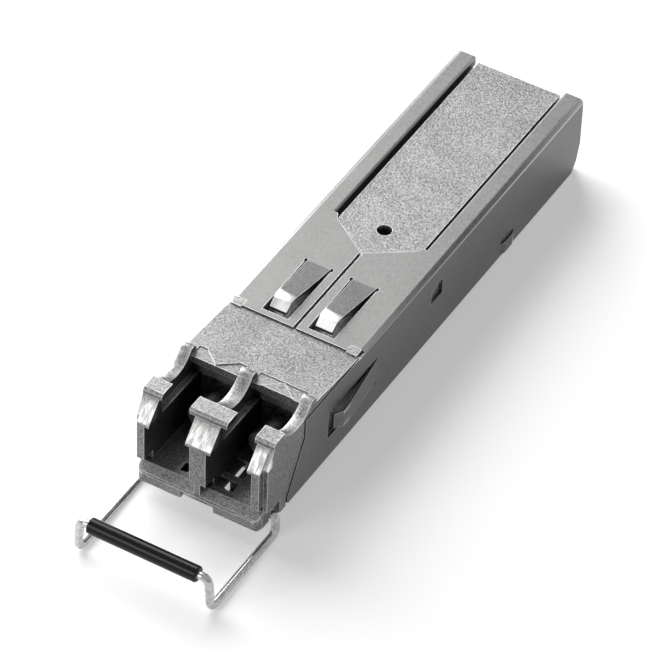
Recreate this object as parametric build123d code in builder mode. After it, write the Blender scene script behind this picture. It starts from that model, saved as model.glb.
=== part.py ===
# Pluggable optical transceiver with a duplex port and a wire bail, in millimetres
# Y runs from the nose (negative) to the connector end, X across and Z up from the bottom face
import os

from build123d import *

# Body
OVERALL_LENGTH = 57.0
BODY_WIDTH = 13.5
BODY_HEIGHT = 8.5
REAR_END = 28.0

# How far cutting shapes reach past the piece, and the least step that keeps two faces apart
CUT_PAST = 1.0
FINE_STEP = 0.01

# Folded shell
SHEET = 0.25
SHEET_BEND = 0.5
SEAM_GAP = 0.3
FLAP_FRONT = 16.2
CORNER_NOTCH_LENGTH = 0.8
CORNER_NOTCH_WIDTH = 1.4
SEAM_REAR = 27.8
RAIL_FRONT = 30.6
RELIEF_NOTCH = 0.6
RAIL_WIDTH = 2.0
RAIL_LIP = 1.0
RAIL_BEND = 0.225
BOTTOM_OPENING = 10.4
BOTTOM_FRONT = 6.3
SIDE_FRONT_TOP = 7.0
SIDE_FRONT_BOTTOM = 4.2
SIDE_FRONT_KNEE = 6.2
SIDE_FRONT_FOOT = 1.2
SIDE_DROP = 0.3
REAR_CORNER_RUN = 1.6
REAR_CORNER_RISE = 3.2
REAR_KNEE_RUN = 0.55
REAR_KNEE_RISE = 1.45

# Bend near the tip of every spring finger
FINGER_BEND_REAR = 1.9
FINGER_BEND_FRONT = 0.88
FINGER_BEND_REAR_DROP = 0.11
FINGER_BEND_FRONT_DROP = 0.08
FINGER_TIP_RISE = 0.08

# Spring fingers on the top
TOP_FINGER_X = 2.35
TOP_FINGER_ROOT = 24.3
TOP_FINGER_TIP = 17.3
TOP_FINGER_WIDTH = 2.4
TOP_FINGER_TIP_WIDTH = 1.7
TOP_FINGER_RISE = 0.8
TOP_WINDOW_WIDTH = 2.7
TOP_WINDOW_FRONT = 16.8
TOP_RELIEF_RADIUS = 0.24
TOP_RELIEF_INSET = 0.075

# Spring fingers on the sides
SIDE_FINGER_Z = 4.3
SIDE_FINGER_ROOT = 19.3
SIDE_FINGER_TIP = 11.7
SIDE_FINGER_WIDTH = 2.6
SIDE_FINGER_TIP_WIDTH = 1.7
SIDE_FINGER_RISE = 0.75
SIDE_WINDOW_WIDTH = 3.1
SIDE_WINDOW_FRONT = 10.9

# Small openings in the sides
SIDE_HOLE_REAR = 26.1
SIDE_HOLE_LENGTH = 2.0
SIDE_HOLE_Z = 5.45
SIDE_HOLE_HEIGHT = 1.7
LANCE_REAR = 12.6
LANCE_LENGTH = 2.5
LANCE_Z = 1.25
LANCE_HEIGHT = 1.7
LANCE_SLIT = 0.2
LANCE_RISE = 0.2
LANCE_SLOPE = 0.6

# Cast housing behind the nose
HOUSING_REAR = 0.15
PLATE_HALF = 4.35
PLATE_DROP = 0.45
PLATE_THICKNESS = 1.25
FINGER_POCKET = 0.9
SIDE_POCKET = 0.35
PLATE_HOLE_FROM_FRONT = 31.9
PLATE_HOLE_RADIUS = 0.72
SHOULDER_DROP = 1.3
WALL_INNER = 4.8
HOUSING_GAP = 0.05
LEDGE_WIDTH = 0.8
OPTICS_WALL = 0.6
OPTICS_REAR = 20.9

# Nose
DECK_BACK_DROP = 0.2
DECK_FRONT_RISE = 0.5
ROOF_FRONT = 8.0
ROOF_DROP = 0.35
BACK_WALL_FRONT = 9.6
BACK_WALL_THICKNESS = 1.2
FLOOR_TOP = 1.8
LIP_DEPTH = 0.75
LIP_CHAMFER = 0.2
FLOOR_SLOPE = 1.0
LIP_HEIGHT = 1.17
LIP_HALF = 6.2
LIP_CORNER = 0.7
NOTCH_HALF = 1.7
NOTCH_TOP = 1.0
NOTCH_DEPTH = 0.95
POST_DEPTH = 0.15
CHEEK_DEPTH = 0.9
TOOTH_FRONT = 1.85
TOOTH_LENGTH = 1.75
TOOTH_RISE = 0.95
TOOTH_THICKNESS = 0.65
TOOTH_CHAMFER = 0.25
CENTRE_TOOTH_HALF = 1.9
SIDE_TOOTH_INNER = 4.7
SADDLE_DROP = 0.25
SADDLE_END_RISE = 0.3
BUMP_RISE = 1.05
BUMP_STEP = 0.15
BUMP_FRONT_DROP = 0.35
BUMP_LENGTH = 0.9
BUMP_CREST_BACK = 0.3
NOSE_SIDE = 6.65
CORNER_BLOCK_LEAD = 0.2
INSIDE_CORNER = 1.0
SHEET_RELIEF = 0.12
FOOT_SLOT_LENGTH = 1.45
FOOT_SLOT_HEIGHT = 0.85
CHEEK_SLOT_HEIGHT = 0.2
POST_PILLAR_OUTER = 6.2
RIB_HALF = 0.3
RAMP_BACK = 0.5
WINDOW_WIDTH = 1.85
WINDOW_FLOOR = 0.6
WINDOW_LENGTH = 1.3
WINDOW_FRONT = 1.55
REAR_WINDOW_FRONT = 3.5
REAR_WINDOW_LENGTH = 2.0
SLIT_OUTER = 2.65
SLIT_WIDTH = 0.75
SLIT_LENGTH = 1.1
ARROW_WIDTH = 3.3
ARROW_GAP = 0.08
ARROW_HEIGHT = 0.12
ARROW_RECESS = 1.5

# Duplex port
PORT_PITCH = 6.25
PORT_WIDTH = 4.62
PORT_UPPER_EXTRA = 0.14
SHELF_UNDER = 6.7
SHELF_TOP = 6.95
LATCH_WINDOW = 3.7
ROOF_POCKET = 1.0
PORT_AXIS_Z = 4.15
SLEEVE_RADIUS = 1.45
SLEEVE_FRONT = 5.9
FERRULE_RADIUS = 0.6255
FERRULE_LEAD_IN = 0.25
FERRULE_DEPTH = 4.2
CAN_RADIUS = 2.0
CAN_FLANGE_RADIUS = 2.55
CAN_FLANGE_LENGTH = 0.9
CAN_LENGTH = 5.6
GASKET_THICKNESS = 0.3
CAN_END_GAP = 0.3
STUB_RADIUS = 1.0
CLAMP_BOTTOM = 1.75
CLAMP_THICKNESS = 1.0
CLAMP_NOTCH_HALF = 1.0
CLAMP_NOTCH_TOP = 2.4

# Wire bail, drawn open as it rests
WIRE_RADIUS = 0.39
PIVOT_FROM_FRONT = 2.3
PIVOT_Z = 0.45
CRANK_OFFSET = 0.2
CRANK_HALF = 0.9
CRANK_JOG = 0.6
ARM_X = 6.72
ARM_SPLAY = 0.2
ARM_Z = -1.5
BAIL_REACH = 10.7
CROSSBAR_Z = 1.95
BAIL_BEND = 0.7
AXLE_BEND = 0.48
SLEEVE_GRIP_RADIUS = 0.76
SLEEVE_GRIP_HALF = 5.5
SLEEVE_GRIP_GAP = 0.01
SLEEVE_GRIP_CHAMFER = 0.1
RUNNING_GAP = 0.05

# Latch lever under the floor
LATCH_SHOULDER = 12.0
BOSS_LENGTH = 2.4
BOSS_FLAT = 0.6
BOSS_WIDTH = 2.4
BOSS_HEIGHT = 0.45
BOSS_HOLE_GAP = 0.35
BOSS_REST_Z = 0.05
LEVER_HALF = 1.45
LEVER_THICKNESS = 0.33
LEVER_PIN_FROM_FRONT = 0.8
LEVER_PIN_Z = 0.5
LEVER_PIN_RADIUS = 0.2
LEVER_EYE_RADIUS = 0.42
LEVER_CLEARANCE = 0.05
LEVER_PIN_HALF = 2.6
LEVER_BEND_TOP = 1.45
LEVER_BEND_UNDER = 1.65
LEVER_TAIL = 0.6
CHANNEL_HALF = 1.7
SPRING_THICKNESS = 0.12
SPRING_HALF = 0.7
SPRING_RISE = 0.45
SPRING_RAMP = 0.8
SPRING_TAIL = 0.3

# Circuit board and what it carries
BOARD_WIDTH = 9.2
BOARD_THICKNESS = 1.0
BOARD_BOTTOM = 2.25
BOARD_REAR = 3.2
BOARD_CHAMFER = 0.25
BOARD_TO_CAN = 4.3
CONTACT_COUNT = 10
CONTACT_PITCH = 0.8
CONTACT_WIDTH = 0.5
CONTACT_LENGTH = 2.6
CONTACT_THICKNESS = 0.05
CONTACT_INSET = 0.4
CHIP_HEIGHT = 0.85
CHIP_CHAMFER = 0.1
DRIVER_SIZE = 4.0
AMPLIFIER_SIZE = 3.0
CONTROLLER_LENGTH = 4.4
CONTROLLER_WIDTH = 3.0
CAPACITOR_LENGTH = 1.0
CAPACITOR_WIDTH = 0.5
RESISTOR_LENGTH = 0.6
RESISTOR_WIDTH = 0.3
RESISTOR_HEIGHT = 0.25
FLEX_THICKNESS = 0.15
FLEX_WIDTH = 3.0
FLEX_BEND = 0.6
FLEX_LANDING = 1.5
FLEX_START_RISE = 1.0
DRIVER_FROM_BOARD_FRONT = 6.0
AMPLIFIER_FROM_DRIVER = 7.0
CONTROLLER_FROM_REAR = 13.0
PASSIVE_X = 3.6
PASSIVE_SPACING = 1.9
PASSIVE_ROWS = 8

os.makedirs("parts", exist_ok=True)

half_width = BODY_WIDTH / 2
sheet_inner = half_width - SHEET
sheet_under = BODY_HEIGHT - SHEET
nose_front = REAR_END - OVERALL_LENGTH
side_top = BODY_HEIGHT - SIDE_DROP


def from_rear(distance):
    """Y of a place this far in front of the shell's rear end."""
    return REAR_END - distance


def from_front(distance):
    """Y of a place this far behind the nose's front face."""
    return nose_front + distance


def cut_block(x_range, y_range, z_range, mode=Mode.SUBTRACT):
    """Takes a rectangular block out of the piece being built, or adds one."""
    centre = [(low + high) / 2 for low, high in (x_range, y_range, z_range)]
    size = [high - low for low, high in (x_range, y_range, z_range)]
    with Locations(tuple(centre)):
        Box(*size, mode=mode)


flap_front = from_front(FLAP_FRONT)
notch_inner = half_width - CORNER_NOTCH_WIDTH
rail_inner = half_width - RAIL_WIDTH
rail_front = from_front(RAIL_FRONT)
relief_rear = from_front(RAIL_FRONT + RELIEF_NOTCH)
bottom_front = from_front(BOTTOM_FRONT)
latch_shoulder = from_front(LATCH_SHOULDER)
port_centres = (-PORT_PITCH / 2, PORT_PITCH / 2)


def finger_profile(root, tip, rise, base):
    """Closed outline of a bent spring finger, as thick as the sheet, in length and height."""
    bend_rear = (tip + FINGER_BEND_REAR, base + rise - FINGER_BEND_REAR_DROP)
    bend_front = (tip + FINGER_BEND_FRONT, base + rise - FINGER_BEND_FRONT_DROP)
    with BuildLine() as outline:
        Line((root + SHEET, base), (root, base))
        rising = Line((root, base), bend_rear)
        TangentArc(bend_rear, bend_front, tangent=rising % 1)
        Line(bend_front, (tip, base + FINGER_TIP_RISE))
        offset(amount=SHEET, side=Side.RIGHT)
    return outline


# Spring fingers of the shell, bent from strips as wide as their roots
with BuildPart() as top_finger:
    with BuildSketch(Plane.YZ):
        top_root = from_front(TOP_FINGER_ROOT)
        add(finger_profile(top_root, from_front(TOP_FINGER_TIP), TOP_FINGER_RISE, sheet_under))
        make_face()
    extrude(amount=TOP_FINGER_WIDTH / 2, both=True)
    with BuildSketch(Plane.XY.offset(BODY_HEIGHT)):
        with BuildLine():
            Polyline(
                (-TOP_FINGER_WIDTH / 2, from_front(TOP_FINGER_ROOT) + SHEET),
                (TOP_FINGER_WIDTH / 2, from_front(TOP_FINGER_ROOT) + SHEET),
                (TOP_FINGER_TIP_WIDTH / 2, from_front(TOP_FINGER_TIP)),
                (-TOP_FINGER_TIP_WIDTH / 2, from_front(TOP_FINGER_TIP)),
                close=True,
            )
        make_face()
    extrude(amount=BODY_HEIGHT, both=True, mode=Mode.INTERSECT)

with BuildPart() as side_finger:
    with BuildSketch(Plane.YX.offset(-SIDE_FINGER_Z)):
        side_root = from_front(SIDE_FINGER_ROOT)
        add(finger_profile(side_root, from_front(SIDE_FINGER_TIP), SIDE_FINGER_RISE, sheet_inner))
        make_face()
    extrude(amount=SIDE_FINGER_WIDTH / 2, both=True)
    with BuildSketch(Plane.YZ):
        with BuildLine():
            Polyline(
                (from_front(SIDE_FINGER_ROOT) + SHEET, SIDE_FINGER_Z - SIDE_FINGER_WIDTH / 2),
                (from_front(SIDE_FINGER_ROOT) + SHEET, SIDE_FINGER_Z + SIDE_FINGER_WIDTH / 2),
                (from_front(SIDE_FINGER_TIP), SIDE_FINGER_Z + SIDE_FINGER_TIP_WIDTH / 2),
                (from_front(SIDE_FINGER_TIP), SIDE_FINGER_Z - SIDE_FINGER_TIP_WIDTH / 2),
                close=True,
            )
        make_face()
    extrude(amount=BODY_WIDTH, mode=Mode.INTERSECT)


# Lanced tab low on each side, pressed out between two slits
with BuildPart() as lance_tab:
    with BuildSketch(Plane.YX.offset(-LANCE_Z)):
        with BuildLine():
            lance_back = from_rear(LANCE_REAR)
            lance_end = from_rear(LANCE_REAR + LANCE_LENGTH)
            Polyline(
                (lance_back + SHEET, sheet_inner),
                (lance_back, sheet_inner),
                (lance_back - LANCE_SLOPE, sheet_inner + LANCE_RISE),
                (lance_end + LANCE_SLOPE, sheet_inner + LANCE_RISE),
                (lance_end, sheet_inner),
                (lance_end - SHEET, sheet_inner),
            )
            offset(amount=SHEET, side=Side.RIGHT)
        make_face()
    extrude(amount=LANCE_HEIGHT / 2 - LANCE_SLIT, both=True)

# Shell: one folded sheet round the bottom, the sides and the front of the top
with BuildPart() as shell:
    # Closed stretch with the top flaps
    with BuildSketch(Plane.XZ.offset(-relief_rear)):
        with Locations((0, BODY_HEIGHT / 2)):
            RectangleRounded(BODY_WIDTH, BODY_HEIGHT, SHEET_BEND)
            RectangleRounded(
                BODY_WIDTH - 2 * SHEET, BODY_HEIGHT - 2 * SHEET, SHEET_BEND - SHEET, mode=Mode.SUBTRACT
            )
    extrude(amount=relief_rear - flap_front)
    # Open stretch behind it, with a rail folded in along each top edge
    with BuildSketch(Plane.XZ.offset(-REAR_END)):
        with Locations((0, BODY_HEIGHT / 2)):
            RectangleRounded(BODY_WIDTH, BODY_HEIGHT, SHEET_BEND)
            RectangleRounded(
                BODY_WIDTH - 2 * SHEET, BODY_HEIGHT - 2 * SHEET, SHEET_BEND - SHEET, mode=Mode.SUBTRACT
            )
        with Locations((0, BODY_HEIGHT)):
            Rectangle(2 * rail_inner, 4 * SHEET, mode=Mode.SUBTRACT)
        for side in (-1, 1):
            with Locations((side * (rail_inner + SHEET / 2), BODY_HEIGHT - RAIL_LIP / 2)):
                Rectangle(SHEET, RAIL_LIP)
        lip_tops = vertices().filter_by_position(Axis.Y, BODY_HEIGHT - SHEET / 10, BODY_HEIGHT + SHEET)
        rail_corners = lip_tops.filter_by_position(Axis.X, -rail_inner - SHEET / 10, rail_inner + SHEET / 10)
        fillet(rail_corners, RAIL_BEND)
    extrude(amount=REAR_END - relief_rear)

    # Bottom and sides carried on under the nose
    with BuildSketch(Plane.XZ.offset(-flap_front)):
        with Locations((0, BODY_HEIGHT)):
            RectangleRounded(BODY_WIDTH, 2 * BODY_HEIGHT, SHEET_BEND)
            RectangleRounded(
                BODY_WIDTH - 2 * SHEET, 2 * BODY_HEIGHT - 2 * SHEET, SHEET_BEND - SHEET, mode=Mode.SUBTRACT
            )
        with Locations((0, side_top + BODY_HEIGHT)):
            Rectangle(2 * BODY_WIDTH, 2 * BODY_HEIGHT, mode=Mode.SUBTRACT)
    extrude(amount=flap_front - from_front(SIDE_FRONT_BOTTOM))
    cut_block(
        (-sheet_inner + SHEET_BEND, sheet_inner - SHEET_BEND),
        (nose_front, bottom_front),
        (-CUT_PAST, 2 * SHEET),
    )
    with BuildSketch(Plane.YZ):
        with BuildLine():
            Polyline(
                (nose_front, -CUT_PAST),
                (nose_front, BODY_HEIGHT + CUT_PAST),
                (from_front(SIDE_FRONT_TOP), BODY_HEIGHT + CUT_PAST),
                (from_front(SIDE_FRONT_TOP), SIDE_FRONT_KNEE),
                (from_front(SIDE_FRONT_BOTTOM), SIDE_FRONT_FOOT),
                (from_front(SIDE_FRONT_BOTTOM), SHEET_BEND),
                (from_front(SIDE_FRONT_BOTTOM + SHEET_BEND), -FINE_STEP),
                (from_front(SIDE_FRONT_BOTTOM + SHEET_BEND), -CUT_PAST),
                close=True,
            )
        make_face()
    extrude(amount=BODY_WIDTH, both=True, mode=Mode.SUBTRACT)

    # Notches at the flaps' front corners, the seam and the splayed opening behind it
    for side in (-1, 1):
        cut_block(
            sorted((side * notch_inner, side * BODY_WIDTH)),
            (flap_front - FINE_STEP, flap_front + CORNER_NOTCH_LENGTH),
            (side_top, BODY_HEIGHT + CUT_PAST),
        )
    with BuildSketch(Plane.XY.offset(BODY_HEIGHT / 2)):
        with BuildLine():
            Polyline(
                (-SEAM_GAP / 2, flap_front - CUT_PAST),
                (-SEAM_GAP / 2, from_front(SEAM_REAR)),
                (-rail_inner + RELIEF_NOTCH, rail_front),
                (-rail_inner + RELIEF_NOTCH / 2, relief_rear),
                (-rail_inner, relief_rear + FINE_STEP),
                (rail_inner, relief_rear + FINE_STEP),
                (rail_inner - RELIEF_NOTCH / 2, relief_rear),
                (rail_inner - RELIEF_NOTCH, rail_front),
                (SEAM_GAP / 2, from_front(SEAM_REAR)),
                (SEAM_GAP / 2, flap_front - CUT_PAST),
                close=True,
            )
        make_face()
    extrude(amount=BODY_HEIGHT, mode=Mode.SUBTRACT)

    # Windows round the top fingers, with small reliefs at the roots
    window_back = from_front(TOP_FINGER_ROOT)
    window_front = from_front(TOP_WINDOW_FRONT)
    for side in (-1, 1):
        finger_x = side * TOP_FINGER_X
        cut_block(
            (finger_x - TOP_WINDOW_WIDTH / 2, finger_x + TOP_WINDOW_WIDTH / 2),
            (window_front, window_back),
            (side_top, BODY_HEIGHT + CUT_PAST),
        )
        with BuildSketch(Plane.XY.offset(side_top)):
            with Locations((finger_x, window_back)):
                with GridLocations(TOP_WINDOW_WIDTH - 2 * TOP_RELIEF_INSET, 0, 2, 1):
                    Circle(TOP_RELIEF_RADIUS)
        extrude(amount=1, mode=Mode.SUBTRACT)
        with Locations((finger_x, 0, 0)):
            add(top_finger.part)

    # Windows and fingers of both sides, and the two small openings further back
    for side in (-1, 1):
        side_range = sorted((side * (sheet_inner - FINE_STEP), side * BODY_WIDTH))
        cut_block(
            side_range,
            (from_front(SIDE_WINDOW_FRONT), from_front(SIDE_FINGER_ROOT)),
            (SIDE_FINGER_Z - SIDE_WINDOW_WIDTH / 2, SIDE_FINGER_Z + SIDE_WINDOW_WIDTH / 2),
        )
        cut_block(
            side_range,
            (from_rear(SIDE_HOLE_REAR + SIDE_HOLE_LENGTH), from_rear(SIDE_HOLE_REAR)),
            (SIDE_HOLE_Z - SIDE_HOLE_HEIGHT / 2, SIDE_HOLE_Z + SIDE_HOLE_HEIGHT / 2),
        )
        cut_block(
            side_range,
            (from_rear(LANCE_REAR + LANCE_LENGTH), from_rear(LANCE_REAR)),
            (LANCE_Z - LANCE_HEIGHT / 2, LANCE_Z + LANCE_HEIGHT / 2),
        )
    for spring in (side_finger.part, lance_tab.part):
        add(spring)
        add(spring.mirror(Plane.YZ))

    # Opening under the connector end, rounded lower rear corners and the hole for the latch boss
    bottom_opening_half = WALL_INNER + LEDGE_WIDTH
    cut_block(
        (-bottom_opening_half, bottom_opening_half),
        (from_rear(BOTTOM_OPENING), REAR_END + CUT_PAST),
        (-CUT_PAST, 2 * SHEET),
    )
    with BuildSketch(Plane.YZ):
        with BuildLine():
            Polyline(
                (REAR_END - REAR_CORNER_RUN, -FINE_STEP),
                (REAR_END + CUT_PAST, -FINE_STEP),
                (REAR_END + CUT_PAST, REAR_CORNER_RISE),
                (REAR_END, REAR_CORNER_RISE),
                (REAR_END - REAR_KNEE_RUN, REAR_KNEE_RISE),
                close=True,
            )
        make_face()
    extrude(amount=BODY_WIDTH, both=True, mode=Mode.SUBTRACT)
    boss_hole_half = BOSS_WIDTH / 2 + BOSS_HOLE_GAP
    cut_block(
        (-boss_hole_half, boss_hole_half),
        (latch_shoulder - BOSS_HOLE_GAP, latch_shoulder + BOSS_LENGTH + BOSS_HOLE_GAP),
        (-CUT_PAST, 2 * SHEET),
    )
shell.part.label = "shell"

# Heights and edges of the cast housing
housing_half = sheet_inner - HOUSING_GAP
housing_bottom = SHEET + HOUSING_GAP
housing_rear = from_rear(HOUSING_REAR)
plate_top = BODY_HEIGHT - PLATE_DROP
plate_under = plate_top - PLATE_THICKNESS
shoulder_top = BODY_HEIGHT - SHOULDER_DROP
optics_inner = housing_half - OPTICS_WALL
roof_front = from_front(ROOF_FRONT)
roof_under = BODY_HEIGHT - ROOF_DROP
lip_rear = from_front(LIP_DEPTH)
floor_front = from_front(FLOOR_SLOPE)
post_front = from_front(POST_DEPTH)
cheek_front = from_front(CHEEK_DEPTH)
back_wall_front = from_front(BACK_WALL_FRONT)
back_wall_rear = from_front(BACK_WALL_FRONT + BACK_WALL_THICKNESS)
port_inner = PORT_PITCH / 2 - PORT_WIDTH / 2
port_outer = PORT_PITCH / 2 + PORT_WIDTH / 2
shelf_inner = PORT_PITCH / 2 - LATCH_WINDOW / 2
shelf_outer = PORT_PITCH / 2 + LATCH_WINDOW / 2
tooth_top = BODY_HEIGHT + TOOTH_RISE
tooth_under = tooth_top - TOOTH_THICKNESS
saddle_top = BODY_HEIGHT - SADDLE_DROP
bump_top = BODY_HEIGHT + BUMP_RISE
tooth_front = from_front(TOOTH_FRONT)
tooth_rear = from_front(TOOTH_FRONT + TOOTH_LENGTH)
pivot_y = from_front(PIVOT_FROM_FRONT)
channel_top = PIVOT_Z + CRANK_OFFSET + WIRE_RADIUS + LEVER_THICKNESS + 3 * LEVER_CLEARANCE
spring_seat = channel_top + SPRING_THICKNESS
deck_back = BODY_HEIGHT - DECK_BACK_DROP
deck_front = BODY_HEIGHT + DECK_FRONT_RISE
deck_slope = (deck_front - deck_back) / (flap_front - roof_front)
bump_rear = (roof_front + BUMP_LENGTH, deck_front - deck_slope * BUMP_LENGTH)
bump_crest = (roof_front + BUMP_CREST_BACK, bump_top)
bump_foot = (roof_front - BUMP_STEP, bump_top - BUMP_FRONT_DROP)
saddle_low = ((roof_front + tooth_rear) / 2, saddle_top)
saddle_front = (tooth_rear + BUMP_STEP, tooth_under + SADDLE_END_RISE)
flange_front = back_wall_rear + GASKET_THICKNESS
can_rear = flange_front + CAN_LENGTH
board_front = can_rear + BOARD_TO_CAN
board_rear = from_rear(BOARD_REAR)
board_top = BOARD_BOTTOM + BOARD_THICKNESS
optics_rear = from_front(OPTICS_REAR)

# Cast housing: the port block at the nose, and the plate and side walls behind it
with BuildPart() as housing:
    # Plate between the rails, shoulders under them and a wall down each side
    with BuildSketch(Plane.XZ.offset(-housing_rear)):
        with BuildLine():
            Polyline(
                (0, plate_top),
                (PLATE_HALF, plate_top),
                (PLATE_HALF, shoulder_top),
                (housing_half, shoulder_top),
                (housing_half, housing_bottom),
                (WALL_INNER, housing_bottom),
                (WALL_INNER, plate_under),
                (0, plate_under),
                close=True,
            )
        make_face()
        mirror(about=Plane.YZ)
    extrude(amount=housing_rear - flap_front)
    # Broader top that the flaps lie on
    cut_block(
        (-housing_half, housing_half),
        (flap_front, from_front(SEAM_REAR)),
        (plate_under, sheet_under - HOUSING_GAP),
        mode=Mode.ADD,
    )
    cut_block(
        (-housing_half, housing_half),
        (from_front(SEAM_REAR) - CUT_PAST, rail_front),
        (plate_under, plate_top),
        mode=Mode.ADD,
    )
    # Side outline of the nose: deck, bumps, saddles, teeth, posts and lip
    with BuildSketch(Plane.YZ):
        with BuildLine():
            Polyline(
                (flap_front, housing_bottom),
                (bottom_front, housing_bottom),
                (bottom_front, 0),
                (nose_front + LIP_CHAMFER, 0),
                (nose_front, LIP_CHAMFER),
                (nose_front, LIP_HEIGHT),
                (post_front, LIP_HEIGHT),
                (post_front, SHELF_TOP),
                (tooth_front, tooth_under),
                (tooth_rear, tooth_under),
                saddle_front,
            )
            ThreePointArc(saddle_front, saddle_low, bump_foot)
            ThreePointArc(bump_foot, bump_crest, bump_rear)
            Polyline(bump_rear, (flap_front, deck_back), (flap_front, housing_bottom))
        make_face()
    extrude(amount=housing_half, both=True)
    # Raised corners that fill the notches of the flaps
    for side in (-1, 1):
        cut_block(
            sorted((side * (notch_inner + HOUSING_GAP), side * housing_half)),
            (flap_front - CORNER_BLOCK_LEAD, flap_front + CORNER_NOTCH_LENGTH - HOUSING_GAP),
            (shoulder_top, BODY_HEIGHT),
            mode=Mode.ADD,
        )
    # Corners taken off inside the bends of the shell
    side_front = from_front(SIDE_FRONT_BOTTOM - SHEET_RELIEF)
    corner_runs = ((0, side_front, REAR_END), (BODY_HEIGHT, flap_front + CORNER_NOTCH_LENGTH, rail_front))
    for height, run_front, run_rear in corner_runs:
        with BuildSketch(Plane.XZ.offset(-run_rear)):
            for side in (-1, 1):
                with Locations((side * half_width, height)):
                    Rectangle(INSIDE_CORNER, INSIDE_CORNER, rotation=45)
        extrude(amount=run_rear - run_front, mode=Mode.SUBTRACT)
    for side in (-1, 1):
        cut_block(
            sorted((side * (sheet_inner - SHEET_BEND), side * half_width)),
            (side_front, bottom_front + HOUSING_GAP),
            (-CUT_PAST, housing_bottom),
        )
    # Deck edges flush with the sheet below them, and cheeks in front of the shell's slanted front edges
    side_edge = from_front(SIDE_FRONT_TOP - SHEET_RELIEF)
    with BuildSketch(Plane.YZ):
        with BuildLine():
            ThreePointArc(saddle_front, saddle_low, bump_foot)
            ThreePointArc(bump_foot, bump_crest, bump_rear)
            Polyline(
                bump_rear,
                (flap_front, deck_back),
                (flap_front, side_top + HOUSING_GAP),
                (side_edge, side_top + HOUSING_GAP),
                (side_edge, SIDE_FRONT_KNEE),
                (side_front, SIDE_FRONT_FOOT),
                (side_front, LIP_CHAMFER),
                (cheek_front, LIP_CHAMFER),
                (cheek_front, SHELF_TOP),
                (tooth_front, tooth_under),
                (tooth_rear, tooth_under),
                saddle_front,
            )
        make_face()
    extrude(amount=NOSE_SIDE, both=True)
    # Ports: a square bay, a latch window through the shelves over it and a broader slot above them
    for centre in port_centres:
        with BuildSketch(Plane.YZ.offset(centre)):
            with BuildLine():
                Polyline(
                    (nose_front - CUT_PAST, LIP_HEIGHT),
                    (nose_front, LIP_HEIGHT),
                    (floor_front, FLOOR_TOP),
                    (back_wall_front, FLOOR_TOP),
                    (back_wall_front, SHELF_UNDER),
                    (nose_front - CUT_PAST, SHELF_UNDER),
                    close=True,
                )
            make_face()
        extrude(amount=PORT_WIDTH / 2, both=True, mode=Mode.SUBTRACT)
        slot_half = PORT_WIDTH / 2 + PORT_UPPER_EXTRA
        cut_block(
            (centre - LATCH_WINDOW / 2, centre + LATCH_WINDOW / 2),
            (nose_front - CUT_PAST, back_wall_front - ROOF_POCKET),
            (SHELF_UNDER - HOUSING_GAP, roof_under),
        )
        cut_block(
            (centre - slot_half, centre + slot_half),
            (nose_front - CUT_PAST, back_wall_front - ROOF_POCKET),
            (SHELF_TOP, roof_under),
        )
        cut_block(
            (centre - slot_half, centre + slot_half),
            (nose_front - CUT_PAST, roof_front),
            (SHELF_TOP, bump_top + CUT_PAST),
        )
        # Seat of the optical sleeve through the back wall, and room for the can's flange in the plate
        with BuildSketch(Plane.XZ.offset(-back_wall_rear)):
            with Locations((centre, PORT_AXIS_Z)):
                Circle(SLEEVE_RADIUS + HOUSING_GAP)
        extrude(amount=BACK_WALL_THICKNESS, both=True, mode=Mode.SUBTRACT)
        with BuildSketch(Plane.XZ.offset(-back_wall_rear)):
            with Locations((centre, PORT_AXIS_Z)):
                Circle(CAN_FLANGE_RADIUS + HOUSING_GAP)
        extrude(amount=back_wall_rear - can_rear - CAN_END_GAP, mode=Mode.SUBTRACT)
    # Slots between the floor and the feet of the posts, leaving a rib in the middle of the divider
    foot_cuts = (
        (RIB_HALF, port_inner, FOOT_SLOT_HEIGHT),
        (port_outer, POST_PILLAR_OUTER, FOOT_SLOT_HEIGHT),
        (POST_PILLAR_OUTER, half_width, CHEEK_SLOT_HEIGHT),
    )
    for inner, outer, height in foot_cuts:
        for side in (-1, 1):
            with BuildSketch(Plane.YZ.offset(side * (inner + outer) / 2)):
                with BuildLine():
                    Polyline(
                        (nose_front - CUT_PAST, LIP_HEIGHT),
                        (nose_front, LIP_HEIGHT),
                        (floor_front, FLOOR_TOP),
                        (post_front + FOOT_SLOT_LENGTH, FLOOR_TOP),
                        (post_front + FOOT_SLOT_LENGTH, FLOOR_TOP + height),
                        (nose_front - CUT_PAST, FLOOR_TOP + height),
                        close=True,
                    )
                make_face()
            extrude(amount=(outer - inner) / 2, both=True, mode=Mode.SUBTRACT)
    for side in (-1, 1):
        # Recess down the front of each outer post for the closed bail
        with BuildSketch(Plane.YZ.offset(side * (POST_PILLAR_OUTER + half_width) / 2)):
            with BuildLine():
                Polyline(
                    (nose_front - CUT_PAST, LIP_HEIGHT),
                    (cheek_front, LIP_HEIGHT),
                    (cheek_front, SHELF_TOP),
                    (tooth_front, tooth_under),
                    (nose_front - CUT_PAST, tooth_under),
                    close=True,
                )
            make_face()
        extrude(amount=(half_width - POST_PILLAR_OUTER) / 2, both=True, mode=Mode.SUBTRACT)
        # Clearance round the bail's legs at the lower corner
        cut_block(
            sorted((side * (ARM_X - WIRE_RADIUS - RUNNING_GAP), side * (half_width + CUT_PAST))),
            (nose_front - CUT_PAST, pivot_y + 2 * WIRE_RADIUS),
            (-CUT_PAST, FLOOR_TOP),
        )
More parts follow.
